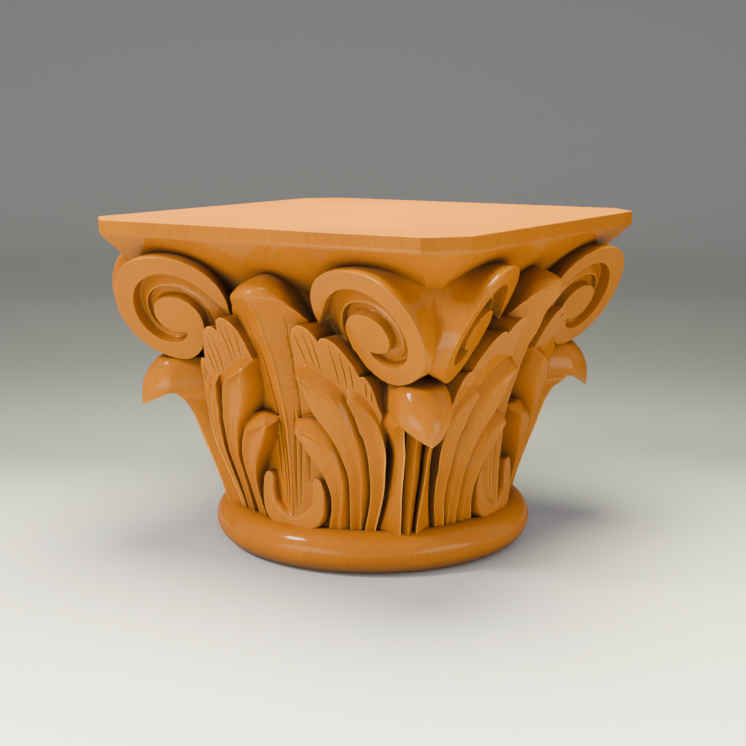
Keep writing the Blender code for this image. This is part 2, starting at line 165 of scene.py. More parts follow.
def body(name, rows, in_metres=False):
    """A closed mesh object through rows of points, each row a ring."""
    rows = np.asarray(rows, float)
    points = rows if in_metres else place(rows)
    count_rows, count = points.shape[:2]
    index = np.arange(count_rows * count).reshape(count_rows, count)
    near, far = index[:-1], index[1:]
    quads = np.stack([near, np.roll(near, -1, 1), np.roll(far, -1, 1), far], axis=-1)
    faces = quads.reshape(-1, 4).tolist() + [index[0][::-1].tolist(), index[-1].tolist()]
    mesh = bpy.data.meshes.new(name)
    mesh.from_pydata(points.reshape(-1, 3).tolist(), [], faces)
    work = bmesh.new()
    work.from_mesh(mesh)
    bmesh.ops.remove_doubles(work, verts=work.verts, dist=SAME_POINT)
    bmesh.ops.triangulate(work, faces=work.faces, ngon_method="EAR_CLIP")
    bmesh.ops.recalc_face_normals(work, faces=work.faces)
    work.to_mesh(mesh)
    work.free()
    return add_object(name, mesh)


def remake(thing):
    """Replaces a mesh by what its modifiers make of it, and removes them."""
    graph = bpy.context.evaluated_depsgraph_get()
    result = bpy.data.meshes.new_from_object(thing.evaluated_get(graph))
    thing.modifiers.clear()
    old = thing.data
    thing.data = result
    bpy.data.meshes.remove(old)
    return thing


def join(things, name):
    """Puts the meshes of several bodies into one object."""
    work = bmesh.new()
    for thing in things:
        work.from_mesh(thing.data)
        bpy.data.objects.remove(thing)
    mesh = bpy.data.meshes.new(name)
    work.to_mesh(mesh)
    work.free()
    return add_object(name, mesh)


def combine(first, second, operation):
    """Joins or cuts two bodies into the first, and removes the second."""
    change = first.modifiers.new("combine", "BOOLEAN")
    change.operation, change.solver, change.object = operation, "EXACT", second
    remake(first)
    bpy.data.objects.remove(second)
    return first


# %% [markdown]
# The bell is the plain turned core behind the leaves. It shows only in the gaps, but every leaf
# runs back into it. The leaves' and lobes' faces lie on smooth shared surfaces, which is how a
# carver works: the block is rounded first, and the leaves are then cut into that surface.

# %% Surfaces that the carving lies on
def bell_radius(up):
    """Radius of the round core at a height."""
    return 0.60 + 0.06 * (up - 0.15) + 0.115 * np.maximum(up - 0.35, 0) ** 2


def inside_bell(side, up):
    """How far out the bodies' backs lie, just inside the core."""
    return np.sqrt(np.maximum((bell_radius(up) - 0.06) ** 2 - side ** 2, 0.01))


def leaf_out(side, up):
    """How far out the surface is that the plumes' rims and crests lie on."""
    rise = up - SHARE_CROWN
    roundness = 0.42 + 0.9 * np.maximum(0.5 - up, 0)
    return 0.68 + 0.176 * rise + 0.137 * rise ** 2 - roundness * side ** 2


def lobe_out(side, up):
    """How far out the face of the lobes is."""
    return 0.69 + 0.2975 * np.maximum(up - 0.25, 0) ** 2.5 - 0.157 * side ** 2


def turned(name, profile, steps=36):
    """A slice a little wider than one eighth, turned from (radius, height) points in metres."""
    turn = np.radians(np.linspace(-8, 45 + 8, steps + 1))
    past_axis = (-0.02, 0.05)
    apex_heights = np.linspace(profile[0][1], profile[-1][1], len(profile))
    rows = []
    for (radius, height), apex_height in zip(profile, apex_heights):
        around = points_at(radius * np.sin(turn), -radius * np.cos(turn), height)
        rows.append(np.vstack([[*past_axis, apex_height], around]))
    return body(name, rows, in_metres=True)


def bell():
    levels = np.linspace(SHARE_FOOT, 1.40, 20)
    spots = place(points_at(0.0, bell_radius(levels), levels))
    return turned("bell", [(-y, z) for _, y, z in spots])


bell_body = bell()
print("bell:", faces_in(bell_body), "triangles")


# %% [markdown]
# A plume is one blade of the leaf, a hollow horn cut off aslant at its top. Across it there is a
# crisp crest over a steep outer wall, a shallow channel, and a rim that rolls over into a round
# inner wall. Three rails along the blade give the places of rim, crest and the outer wall's foot,
# and the section is drawn between them at every step.

# %% Plumes
def fade(values, low, high):
    """0 up to low, 1 from high on, and smooth between them."""
    share = np.clip((values - low) / (high - low), 0, 1)
    return share * share * (3 - 2 * share)


def plume(name, rim, crest, foot, spread, wall_depth, hollow, tip_fall, wall_fall,
          aslant=False, at_tip=0.0):
    """A blade from its root to its tip. The inner wall spreads sideways by spread at its widest,
    and at the tip by the share at_tip of that."""
    steps = 110
    rims, crests, feet = (spline(rail, steps) for rail in (rim, crest, foot))
    along = np.linspace(0, 1, steps + 1)
    fall = tip_fall * np.clip((along - 0.93) / 0.07, 0, 1)
    rim_out = (leaf_out(*rims.T) - fall)[:, None]
    crest_out = (leaf_out(*crests.T) - fall)[:, None]
    foot_out = crest_out - wall_fall * (1 - 0.5 * fade(along, 0.9, 1.0))[:, None]
    across = np.linspace(0, 1, 25)[1:]
    dip = np.sin(math.pi * across ** 0.75) ** 2
    channel = mix(crests, rims, across)
    deep = hollow * (1 - fade(along, 0.86, 0.97))[:, None]
    channel_out = crest_out + (rim_out - crest_out) * across - deep * dip
    down = np.linspace(0, 1, 14)
    outer = mix(crests, feet, down)
    bulge = 0.65 * down + 0.35 * (1 - np.sqrt(1 - down ** 2))
    outer_out = crest_out - (crest_out - foot_out) * bulge
    opening = 0.25 + 0.75 * fade(along, 0.35, 0.75)
    closing = 1 - (1 - at_tip) * fade(along, 0.86, 0.99)
    widest = spread * opening * closing
    turn = np.linspace(0, math.pi / 2, 14)[None, 1:]
    wall_side = rims[:, :1] - widest[:, None] * np.sin(turn)
    wall_out = rim_out - wall_depth * (1 - np.cos(turn))
    up = rims[:, 1:]
    last_side, last_out = wall_side[:, -1:], wall_out[:, -1:]
    if aslant:
        root = (last_side - 0.15, last_out - 0.13)
        back = (feet[:, :1] - 0.12, foot_out - 0.12)
    else:
        root = (last_side, np.minimum(inside_bell(last_side, up), last_out))
        back = (feet[:, :1], inside_bell(feet[:, :1], feet[:, 1:]))
    rows = np.concatenate([
        points_at(*back, feet[:, 1:]),
        pushed_out(outer, outer_out)[:, ::-1],
        pushed_out(channel, channel_out),
        points_at(wall_side, wall_out, up),
        points_at(*root, up),
    ], axis=1)
    return body(name, rows)


def plumes():
    low = SHARE_FOOT
    first = plume(
        "high_plume",
        [(0.265, low), (0.288, 0.30), (0.308, 0.46), (0.300, 0.532), (0.284, 0.604),
         (0.258, 0.669), (0.225, 0.728), (0.198, 0.790), (0.181, 0.858), (0.164, 0.922),
         (0.140, 0.957), (0.118, 0.985)],
        [(0.305, low), (0.340, 0.332), (0.364, 0.451), (0.372, 0.567), (0.364, 0.676),
         (0.351, 0.708), (0.332, 0.771), (0.290, 0.857), (0.210, 0.903), (0.168, 0.928),
         (0.142, 0.960), (0.118, 0.986)],
        [(0.314, low), (0.328, 0.212), (0.363, 0.327), (0.388, 0.440), (0.399, 0.550),
         (0.395, 0.655), (0.383, 0.691), (0.374, 0.770), (0.352, 0.855), (0.300, 0.930),
         (0.220, 0.985), (0.112, 1.000)],
        spread=0.060, wall_depth=0.22, hollow=0.016, tip_fall=0.075, wall_fall=0.075, at_tip=0.4)
    second = plume(
        "middle_plume",
        [(0.326, low), (0.340, 0.212), (0.375, 0.327), (0.400, 0.440), (0.411, 0.550),
         (0.407, 0.655), (0.395, 0.691), (0.389, 0.752), (0.376, 0.800), (0.348, 0.890)],
        [(0.368, low), (0.386, 0.216), (0.433, 0.349), (0.471, 0.479), (0.491, 0.605),
         (0.478, 0.722), (0.464, 0.761), (0.429, 0.812), (0.385, 0.850), (0.348, 0.891)],
        [(0.345, low), (0.362, 0.209), (0.399, 0.34), (0.436, 0.48), (0.456, 0.60), (0.482, 0.72),
         (0.482, 0.80), (0.430, 0.880), (0.340, 0.915)],
        spread=0.012, wall_depth=0.07, hollow=0.012, tip_fall=0.050, wall_fall=0.055, aslant=True)
    third = plume(
        "low_plume",
        [(0.170, low), (0.180, 0.205), (0.197, 0.267), (0.208, 0.327), (0.209, 0.385),
         (0.198, 0.440), (0.181, 0.490), (0.154, 0.535), (0.128, 0.580), (0.104, 0.626),
         (0.083, 0.662), (0.051, 0.692)],
        [(0.215, low), (0.228, 0.203), (0.243, 0.272), (0.260, 0.346), (0.273, 0.418),
         (0.274, 0.487), (0.260, 0.548), (0.234, 0.604), (0.188, 0.642), (0.110, 0.668),
         (0.084, 0.676), (0.051, 0.693)],
        [(0.253, low), (0.276, 0.30), (0.296, 0.46), (0.288, 0.532), (0.270, 0.610),
         (0.232, 0.680), (0.140, 0.728), (0.045, 0.712)],
        spread=0.030, wall_depth=0.16, hollow=0.012, tip_fall=0.060, wall_fall=0.055)
    return [first, second, third]


plume_bodies = plumes()
print("three plumes:", faces_in(*plume_bodies), "triangles")


# %% [markdown]
# Above the plumes the leaf ends in a flat edge with three round lobes. Its face is one smooth
# surface, and its outline is cut straight back to the bell.

# %% Lobes
def lobes():
    first = [(0.117, 0.975), (0.128, 1.032), (0.136, 1.081), (0.149, 1.125), (0.173, 1.160),
             (0.208, 1.178), (0.240, 1.168), (0.262, 1.140), (0.275, 1.104)]
    second = [(0.275, 1.104), (0.295, 1.123), (0.320, 1.125), (0.345, 1.112), (0.367, 1.089),
              (0.391, 1.044), (0.410, 1.003), (0.425, 0.948)]
    third = [(0.425, 0.948), (0.440, 0.955), (0.457, 0.942), (0.470, 0.912), (0.478, 0.875),
             (0.482, 0.837), (0.496, 0.775)]
    low_edge = [(0.120, 0.965), (0.185, 0.90), (0.25, 0.84), (0.32, 0.77), (0.40, 0.70),
                (0.46, 0.66)]
    top_edge = np.vstack([spline(first, 60), spline(second, 60)[1:], spline(third, 40)[1:]])
    low = spline(low_edge, len(top_edge) - 1)
    face = mix(top_edge, low, np.linspace(0, 1, 30))
    rows = np.concatenate([
        pushed_out(top_edge, inside_bell(*top_edge.T))[:, None],
        pushed_out(face, lobe_out(face[..., 0], face[..., 1])),
        pushed_out(low, inside_bell(*low.T))[:, None],
    ], axis=1)
    return body("lobes", rows)


lobe_body = lobes()
print("lobes:", faces_in(lobe_body), "triangles")


# %% [markdown]
# The stem is the pointed leaf in the middle of a side. Two flanks fall away from one sharp
# arris with a thin midrib along it, and its top rolls over into a hood under the board.

# %% Stem and hood
ARRIS = [(0.692, SHARE_FOOT), (0.695, 0.263), (0.697, 0.36), (0.702, 0.44), (0.710, 0.52),
         (0.717, 0.59), (0.725, 0.66), (0.738, 0.72), (0.762, 0.80), (0.795, 0.897),
         (0.840, 1.013), (0.890, 1.097), (0.921, 1.168), (0.958, 1.22), (0.997, 1.266)]
STEM_HALF = 0.205
STEM_FALL = 0.43
MIDRIB = 0.0075


def stem():
    line = spline(ARRIS, 120)
    out, up = line[:, :1], line[:, 1:]
    edge = STEM_HALF - 0.85 * np.maximum(up - 1.19, 0)
    near_rib = np.broadcast_to(MIDRIB * np.array([0, 0.4, 0.7, 1, 1.5]), (len(up), 5))
    half = np.hstack([near_rib, edge * np.array([0.1, 0.25, 0.5, 0.75, 1])])
    side = np.hstack([-half[:, :0:-1], half])
    rib = MIDRIB * 1.2 * np.exp(-(side / (0.6 * MIDRIB)) ** 2)
    face = points_at(side, out - STEM_FALL * np.abs(side) + rib, up)
    behind = edge - 1.2 * np.maximum(up - 1.13, 0)
    back = inside_bell(behind, up)
    rows = np.concatenate([face, points_at(behind, back, up), points_at(-behind, back, up)],
                          axis=1)
    return body("stem", rows)


def hood():
    half_rows = [
        [(0.0, 0.990, 1.264), (0.058, 0.972, 1.266), (0.100, 0.955, 1.267), (0.136, 0.934, 1.262),
         (0.160, 0.903, 1.238), (0.196, 0.853, 1.190), (0.203, 0.830, 1.130)],
        [(0.0, 1.010, 1.291), (0.060, 0.992, 1.292), (0.108, 0.970, 1.288), (0.143, 0.945, 1.275),
         (0.163, 0.910, 1.243), (0.198, 0.858, 1.192), (0.205, 0.835, 1.130)],
        [(0.0, 0.998, 1.325), (0.056, 0.985, 1.322), (0.104, 0.962, 1.310), (0.140, 0.938, 1.288),
         (0.163, 0.905, 1.247), (0.199, 0.855, 1.193), (0.206, 0.832, 1.130)],
        [(0.0, 0.954, 1.355), (0.054, 0.945, 1.350), (0.100, 0.925, 1.333), (0.134, 0.905, 1.300),
         (0.156, 0.880, 1.252), (0.190, 0.838, 1.195), (0.200, 0.810, 1.130)],
        [(0.0, 0.883, 1.380), (0.045, 0.876, 1.368), (0.085, 0.860, 1.341), (0.115, 0.840, 1.302),
         (0.138, 0.815, 1.250), (0.166, 0.770, 1.195), (0.182, 0.740, 1.130)],
        [(0.0, 0.780, 1.372), (0.045, 0.775, 1.353), (0.085, 0.755, 1.318), (0.106, 0.725, 1.283),
         (0.122, 0.690, 1.238), (0.140, 0.650, 1.190), (0.150, 0.620, 1.130)],
        [(0.0, 0.680, 1.340), (0.040, 0.675, 1.322), (0.075, 0.660, 1.290), (0.095, 0.640, 1.258),
         (0.108, 0.615, 1.220), (0.120, 0.590, 1.180), (0.130, 0.570, 1.130)],
    ]
    whole_rows = []
    for half in half_rows:
        mirrored = [(-side, out, up) for side, out, up in reversed(half[1:])]
        whole_rows.append(mirrored + half)
    surface = net(whole_rows, 80, 60)
    level = np.linspace(0, 1, len(surface))
    ends = [points_at(0.7 * surface[:, column, 0], 0.55 - 0.02 * level, 1.05)[:, None]
            for column in (-1, 0)]
    return body("hood", np.concatenate([surface, *ends], axis=1))


stem_body, hood_body = stem(), hood()
print("stem:", faces_in(stem_body), "triangles, hood:", faces_in(hood_body))


# %% [markdown]
# The loop strap lies in front of the leaf's foot, flat like a ribbon, with round tips. Its inner
# edge is eased with a wide soft bevel, which catches the light.

# %% Loop strap
def loop_strap():
    outer = [(-0.06, 0.182), (0.0, 0.180), (0.060, 0.183), (0.108, 0.191), (0.147, 0.215),
             (0.168, 0.262), (0.174, 0.325), (0.170, 0.385), (0.160, 0.418), (0.146, 0.432),
             (0.134, 0.434)]
    inner = [(-0.06, 0.254), (0.0, 0.247), (0.030, 0.256), (0.065, 0.277), (0.092, 0.303),
             (0.102, 0.345), (0.103, 0.385), (0.106, 0.412), (0.114, 0.428), (0.132, 0.435)]
    outs, ins = spline(outer, 90), spline(inner, 90)
    shares = np.array([0.0, 0.06, 0.3, 0.6, 0.80, 0.90, 0.96, 1.0])
    ease = np.array([0.008, 0.0, 0.0, 0.0, 0.001, 0.005, 0.012, 0.025])
    face = mix(outs, ins, shares)
    front = 0.700 - 0.4 * face[..., 0] ** 2 - ease
    back = 0.60
    rows = np.concatenate([
        pushed_out(outs, back)[:, None],
        pushed_out(face, front),
        pushed_out(ins, back)[:, None],
    ], axis=1)
    return body("loop_strap", rows)


loop_body = loop_strap()
print("loop strap:", faces_in(loop_body), "triangles")


# %% [markdown]
# A corner scroll has a flat face that leans out at the top and turns a little to the corner.
# The whole body is laid out around the eye: rings of points run from the eye out over the face
# and back along the sides. How deep a point of the face lies is worked out from where it is
# between the two spiral lines that bound the groove.

# %% The scroll's lines
# Each line is a list of pairs: the angle around the eye in degrees and the radius in shares, and
# for a section of the groove the share of the way across it and the depth.
FACE_TURN, FACE_LEAN, FACE_DISTANCE = math.radians(10.9), math.radians(28.1), 0.1187
EYE = np.array([0.690, 1.385])
SCROLL_EDGE = [(186, 0.300), (174, 0.300), (160, 0.312), (140, 0.320), (115, 0.314), (90, 0.305),
               (60, 0.312), (30, 0.301), (2, 0.288), (-33, 0.280), (-62, 0.274), (-90, 0.266),
               (-114, 0.225), (-136, 0.178), (-143, 0.190), (-152, 0.290), (-163, 0.302),
               (-174, 0.300)]
GROOVE_END, GROOVE_END_RADIUS = -113, 0.112
GROOVE_OUTER = [(230, 0.46), (210, 0.40), (196, 0.345), (180, 0.300), (168, 0.265), (150, 0.240),
                (120, 0.225), (90, 0.217), (60, 0.210), (30, 0.203), (0, 0.198), (-30, 0.198),
                (-50, 0.194), (-72, 0.182), (-91, 0.161), (-102, 0.142), (-108, 0.129),
                (-113, 0.112)]
GROOVE_INNER = [(230, 0.205), (205, 0.158), (185, 0.143), (165, 0.126), (140, 0.110), (115, 0.096),
                (90, 0.087), (60, 0.088), (30, 0.093), (0, 0.098), (-30, 0.104), (-60, 0.107),
                (-85, 0.107), (-113, 0.112)]
RIDGE_SHARE = [(230, 0.80), (180, 0.74), (158, 0.66), (135, 0.64), (108, 0.64), (83, 0.62),
               (60, 0.60), (30, 0.57), (0, 0.55), (-20, 0.53), (-45, 0.48), (-113, 0.40)]
WALL_TO_RIDGE = [(0.0, 0.0), (0.05, 0.050), (0.14, 0.062), (0.45, 0.055), (0.80, 0.036),
                 (1.0, 0.027)]
RIDGE_TO_EYE = [(0.0, 0.027), (0.04, 0.040), (0.12, 0.056), (0.30, 0.060), (0.60, 0.052),
                (0.85, 0.046), (0.95, 0.036), (1.0, 0.0)]
HOOK = [(0.0, 0.0), (0.10, 0.032), (0.25, 0.043), (0.55, 0.041), (0.85, 0.050), (0.95, 0.042),
        (1.0, 0.0)]


def on_face(spots, depth):
    """Share points on the scroll's face, or depth behind it, from (along, upward) places."""
    turn, lean = FACE_TURN, FACE_LEAN
    right = np.array([math.cos(turn), math.sin(turn), 0])
    rise = np.array([-math.sin(turn) * math.sin(lean), math.cos(turn) * math.sin(lean),
                     math.cos(lean)])
    forward = np.array([-math.sin(turn) * math.cos(lean), math.cos(turn) * math.cos(lean),
                        -math.sin(lean)])
    depth = np.asarray(depth)[..., None]
    return spots[..., :1] * right + spots[..., 1:] * rise + forward * (FACE_DISTANCE - depth)


def read(curve, places):
    """The second coordinate of a smooth curve where the first one has the given values."""
    fine = spline(curve, 400)
    order = np.argsort(fine[:, 0])
    return np.interp(places, fine[order, 0], fine[order, 1])


# %% How deep the scroll's face is cut
def scroll_face():
    """Rings from the eye outwards: angles, the edge, radii, depths, and depth at the edge."""
    angle = np.linspace(-136, 224, 461)[:-1]
    edge = read(SCROLL_EDGE, np.where(angle > 186, angle - 360, angle))[:, None]
    outer, inner = read(GROOVE_OUTER, angle)[:, None], read(GROOVE_INNER, angle)[:, None]
    no_groove = angle < GROOVE_END
    outer[no_groove] = inner[no_groove] = GROOVE_END_RADIUS
    ridge = read(RIDGE_SHARE, angle)[:, None]
    to_ridge = np.r_[0, 0.012, 0.025, 0.04, 0.07, 0.12, np.linspace(0.2, 1, 17)]
    to_eye = np.r_[0.015, 0.03, 0.06, 0.10, np.linspace(0.16, 0.88, 13), 0.92, 0.95, 0.975, 1]
    share = np.concatenate([ridge * to_ridge, ridge + (1 - ridge) * to_eye], axis=1)
    main = np.r_[read(WALL_TO_RIDGE, to_ridge), read(RIDGE_TO_EYE, to_eye)]
    turned_over = np.clip((-25 - angle) / 45, 0, 1)[:, None]
    depth = main * (1 - turned_over) + read(HOOK, share) * turned_over
    depth *= np.clip((angle - GROOVE_END) / 8, 0, 1)[:, None] ** 0.5
    groove = outer - share * (outer - inner)
    band = 5
    eye_share, band_share = np.linspace(0.02, 1, 7)[:-1], np.linspace(0, 1, band + 1)[1:]
    outside = outer + np.maximum(edge - outer, 0) * band_share
    radius = np.concatenate([inner * eye_share, groove[:, ::-1], outside], axis=1)
    depth = np.pad(depth[:, ::-1], ((0, 0), (len(eye_share), band)))
    at_edge = np.array([np.interp(e, r[:-band], d[:-band])
                        for e, r, d in zip(edge, radius, depth)])
    depth = np.where(radius > edge, at_edge, depth)
    depth[:, -band:] = np.where(outer > edge, at_edge, depth[:, -band:])
    return angle, edge, np.minimum(radius, edge), depth, at_edge[:, 0]


# %% Scroll
WAIST = 0.13


def scroll():
    """The rings of the face, then of the sides, which draw in behind it like a waist."""
    angle, edge, radius, depth, at_edge = scroll_face()
    turn = np.radians(angle)
    heading = np.stack([np.cos(turn), np.sin(turn)], -1)
    rows = [on_face(EYE + heading * r[:, None], d) for r, d in zip(radius.T, depth.T)]
    wrapped = (angle + 180) % 360 - 180
    upper = np.clip((wrapped + 20) / 75, 0, 1)
    lower = np.clip(1 - np.abs(wrapped + 42) / 30, 0, 1)
    for level in np.r_[np.linspace(0, 0.30, 31)[1:], 0.48]:
        if level < WAIST:
            dip = math.sin(math.pi / 2 * (level / WAIST)) ** 2
        else:
            dip = 1 - 0.4 * min((level - WAIST) / 0.2, 1)
        whole = 1.0 if level < 0.31 else 0.45
        size = whole * (1 - 0.14 * dip * upper + 0.07 * min(level / 0.05, 1) * lower)
        rows.append(on_face(EYE + heading * (edge * size[:, None]), np.maximum(level, at_edge)))
    return body("scroll", rows)


scroll_body = scroll()
print("scroll:", faces_in(scroll_body), "triangles")


# %% [markdown]
# At each corner a long leaf climbs the diagonal and curls over at its tip. Its two outer straps
# spring out into the curl like a mushroom's gills into its cap, and a middle strap runs up
# between them, a little deeper.

# %% Corner leaf
def corner(points):
    """Share points from (out along the diagonal, across it, up)."""
    points = np.asarray(points, float)
    out, across, up = points[..., 0], points[..., 1], points[..., 2]
    return np.stack([(out - across) / math.sqrt(2), (out + across) / math.sqrt(2), up], -1)


def outer_strap():
    front = spline([(1.010, 0.104, 0.790), (0.967, 0.118, 0.748), (0.912, 0.110, 0.710),
                    (0.869, 0.095, 0.667), (0.830, 0.085, 0.610), (0.795, 0.083, 0.528),
                    (0.750, 0.088, 0.400), (0.705, 0.100, 0.283), (0.668, 0.114, 0.205),
                    (0.640, 0.120, SHARE_FOOT)], 80)
    inside = spline([(1.010, 0.076, 0.795), (0.985, 0.078, 0.765), (0.940, 0.072, 0.720),
                     (0.900, 0.060, 0.650), (0.878, 0.052, 0.590), (0.845, 0.050, 0.500),
                     (0.800, 0.046, 0.390), (0.762, 0.039, 0.283), (0.738, 0.036, 0.205),
                     (0.715, 0.036, SHARE_FOOT)], 80)
    face = mix(inside, front, np.linspace(0, 1, 9))
    up = front[:, 2]
    flare = fade(up, 0.58, 0.70)
    back = 0.45
    side = front[:, 1] + 0.025 + 0.025 * flare
    rows = np.concatenate([
        points_at(back, inside[:, 1], inside[:, 2])[:, None],
        face,
        points_at((front[:, 0] + 0.62) / 2, front[:, 1] + 0.006 + 0.019 * flare, up)[:, None],
        points_at(back + 0.15, side, up)[:, None],
        points_at(back, side, up)[:, None],
    ], axis=1)
    return body("outer_strap", corner(rows))


def curled_tip():
    crown = [(0.960, 0.0, 0.955), (1.044, 0.0, 0.930), (1.072, 0.0, 0.903), (1.099, 0.0, 0.870),
             (1.119, 0.0, 0.830), (1.128, 0.0, 0.803), (1.136, 0.0, 0.752), (1.134, 0.0, 0.714),
             (1.132, 0.0, 0.690)]
    flank = [(0.930, 0.095, 0.930), (0.960, 0.114, 0.895), (0.990, 0.121, 0.850),
             (1.010, 0.120, 0.800), (1.020, 0.110, 0.762)]
    under_crown = [(1.131, 0, 0.688), (1.115, 0, 0.705), (1.060, 0, 0.755), (0.960, 0, 0.800)]
    under_flank = [(1.020, 0.108, 0.762), (1.012, 0.100, 0.768), (0.990, 0.092, 0.785),
                   (0.920, 0.080, 0.800)]
    steps = 50
    middles, sides = (np.vstack([spline(above, steps), spline(below, 16)[1:]])
                      for above, below in ((crown, under_crown), (flank, under_flank)))
    share = np.linspace(-0.35, 1, 40)[None, :]
    pointed = 0.8 * np.minimum(1, np.arange(len(middles)) / steps)[:, None] ** 2
    turn = share * math.pi / 2
    across = np.sin(turn) + (share - np.sin(turn)) * pointed
    towards = np.cos(turn) + (1 - np.abs(share) - np.cos(turn)) * pointed
    forward = (np.cos(turn) + towards) / 2
    surface = points_at(
        sides[:, :1] + (middles[:, :1] - sides[:, :1]) * forward,
        sides[:, 1:2] * across,
        sides[:, 2:] + (middles[:, 2:] - sides[:, 2:]) * towards)
    back = 0.62
    rows = np.concatenate([
        surface,
        points_at(back, sides[:, 1] + 0.01, sides[:, 2])[:, None],
        points_at(back, -0.06, sides[:, 2])[:, None],
    ], axis=1)
    return body("curled_tip", corner(rows))


def middle_strap():
    front = spline([(0.720, SHARE_FOOT), (0.775, 0.34), (0.825, 0.48), (0.850, 0.58),
                    (0.870, 0.66), (0.90, 0.80)], 50)
    out, up = front[:, :1], front[:, 1:]
    half = 0.0235 + 0.027 * (up - SHARE_FOOT)
    across = np.linspace(-1, 1, 9)
    back = 0.45
    rows = np.concatenate([
        points_at(out - 0.033 * np.abs(across), half * across, up),
        points_at(back, half, up),
        points_at(back, -half, up),
    ], axis=1)
    return body("middle_strap", corner(rows))


corner_bodies = [outer_strap(), curled_tip(), middle_strap()]
print("corner leaf:", faces_in(*corner_bodies), "triangles")


# %% [markdown]
# Carved wood has no knife-sharp edges: the chisel's corners are eased by sanding and softened
# again by the lacquer. So the bodies of one eighth are melted into one skin on a fine grid of
# little cubes, which joins all that overlaps, and then smoothed, which eases every edge by about
# half a millimetre. The carving is turned askew for this and back afterwards, because an edge
# that runs exactly along the grid would come out wavy. Decimate then takes away the triangles
# that flat places don't need. In a crease finer than the grid two walls can touch along an edge,
# which leaves four faces at it. Such a spot is cut out with the faces around it, and filled
# afresh. The few edges still open after that close when the eighth is cleaned.

# %% Melt the bodies of one eighth together
VOXEL = 0.00040
EASING_PASSES = 3
ASKEW = Euler((0.37, 0.61, 0.29)).to_matrix().to_4x4()
TRIANGLES_OF_AN_EIGHTH = 26500


def part_touching_walls(mesh):
    """Cuts out the spots where two walls touch along an edge, and fills them afresh."""
    work = bmesh.new()
    work.from_mesh(mesh)
    bmesh.ops.triangulate(work, faces=work.faces)
    touching = [edge for edge in work.edges if len(edge.link_faces) > 2]
    spots = {vert.index for edge in touching for vert in edge.verts}
    around = [face for face in work.faces if any(vert.index in spots for vert in face.verts)]
    bmesh.ops.delete(work, geom=around, context="FACES")
    border = [edge for edge in work.edges if len(edge.link_faces) == 1]
    bmesh.ops.holes_fill(work, edges=border, sides=0)
    bmesh.ops.triangulate(work, faces=work.faces)
    left = sum(len(edge.link_faces) != 2 for edge in work.edges)
    print("walls touched at", len(touching), "edges, now at", left)
    work.to_mesh(mesh)
    work.free()


def melted_carving():
    """One skin in place of the bodies of an eighth."""
    bodies = [bell_body, stem_body, hood_body, lobe_body, *plume_bodies, loop_body, scroll_body,
              *corner_bodies]
    carving = join(bodies, "carving")
    carving.data.transform(ASKEW)
    grid = carving.modifiers.new("grid", "REMESH")
    grid.mode, grid.voxel_size, grid.adaptivity = "VOXEL", VOXEL, 0
    easing = carving.modifiers.new("easing", "SMOOTH")
    easing.factor, easing.iterations = 0.5, EASING_PASSES
    remake(carving)
    carving.data.transform(ASKEW.inverted())
    triangles = 2 * len(carving.data.polygons)
    print("carving of one eighth:", triangles, "triangles on the grid")
    thinning = carving.modifiers.new("thinning", "DECIMATE")
    thinning.ratio = min(1, TRIANGLES_OF_AN_EIGHTH / triangles)
    remake(carving)
    part_touching_walls(carving.data)
    print("thinned to", len(carving.data.polygons), "triangles")
    return carving


# %% [markdown]
# The veins of the lobes and of the stem are single strokes with the corner of a chisel: thin V
# cuts that run out at both ends. They are too fine for the grid, so they are cut afterwards, by
# thin three-sided bodies that follow the surface.

# %% Veins
LOBE_VEINS = [[(0.166, 1.135), (0.182, 0.990)], [(0.212, 1.135), (0.218, 0.985)],
              [(0.246, 1.138), (0.243, 0.956)], [(0.321, 1.089), (0.320, 0.892)],
              [(0.361, 1.061), (0.355, 0.888)], [(0.393, 1.005), (0.383, 0.886)],
              [(0.447, 0.924), (0.440, 0.857)], [(0.465, 0.882), (0.461, 0.835)]]
STEM_VEINS = [[(0.117, 1.214), (0.101, 1.111), (0.079, 0.966), (0.073, 0.838), (0.064, 0.732),
               (0.052, 0.563), (0.042, 0.403), (0.039, 0.299)],
              [(0.042, 0.763), (0.027, 0.562), (0.021, 0.402), (0.021, 0.290)],
              [(0.088, 0.640), (0.084, 0.540), (0.079, 0.405)]]


def stem_out(side, up):
    """How far out the flanks of the stem are."""
    line = spline([(height, out) for out, height in ARRIS], 200)
    return np.interp(up, line[:, 0], line[:, 1]) - STEM_FALL * np.abs(side)


def vein(line, surface, half_width, depth, steps=14):
    """A V-shaped cutter along (side, up) points of a surface, thin at both ends."""
    spots = spline(line, steps)
    run_out = np.sin(math.pi * np.linspace(0.03, 0.97, steps + 1)) ** 0.5
    half, low = half_width * run_out, depth * run_out
    lift = 0.012
    wide = half * (1 + lift / low)
    side, up = spots.T
    out = surface(side, up)
    rows = np.stack([points_at(side - wide, out + lift, up),
                     points_at(side + wide, out + lift, up),
                     points_at(side, out - low, up)], axis=1)
    return body("vein", rows)


def veins():
    cuts = [vein(line, lobe_out, half_width=0.0036, depth=0.011) for line in LOBE_VEINS]
    cuts += [vein(line, stem_out, half_width=0.0065, depth=0.013, steps=40)
             for line in STEM_VEINS]
    return join(cuts, "veins")


vein_cutter = veins()
print("veins:", len(LOBE_VEINS) + len(STEM_VEINS), "cuts,", faces_in(vein_cutter), "triangles")


# %% [markdown]
# The foot ring and the board are turned and planed, not carved, so they are made exactly: the
# ring from its round profile, the board as a slab with a rounded fascia and a sloped underside.
# Both are joined to the carving with an exact Boolean, which leaves a clean line where the
# leaves' feet stand on the ring.

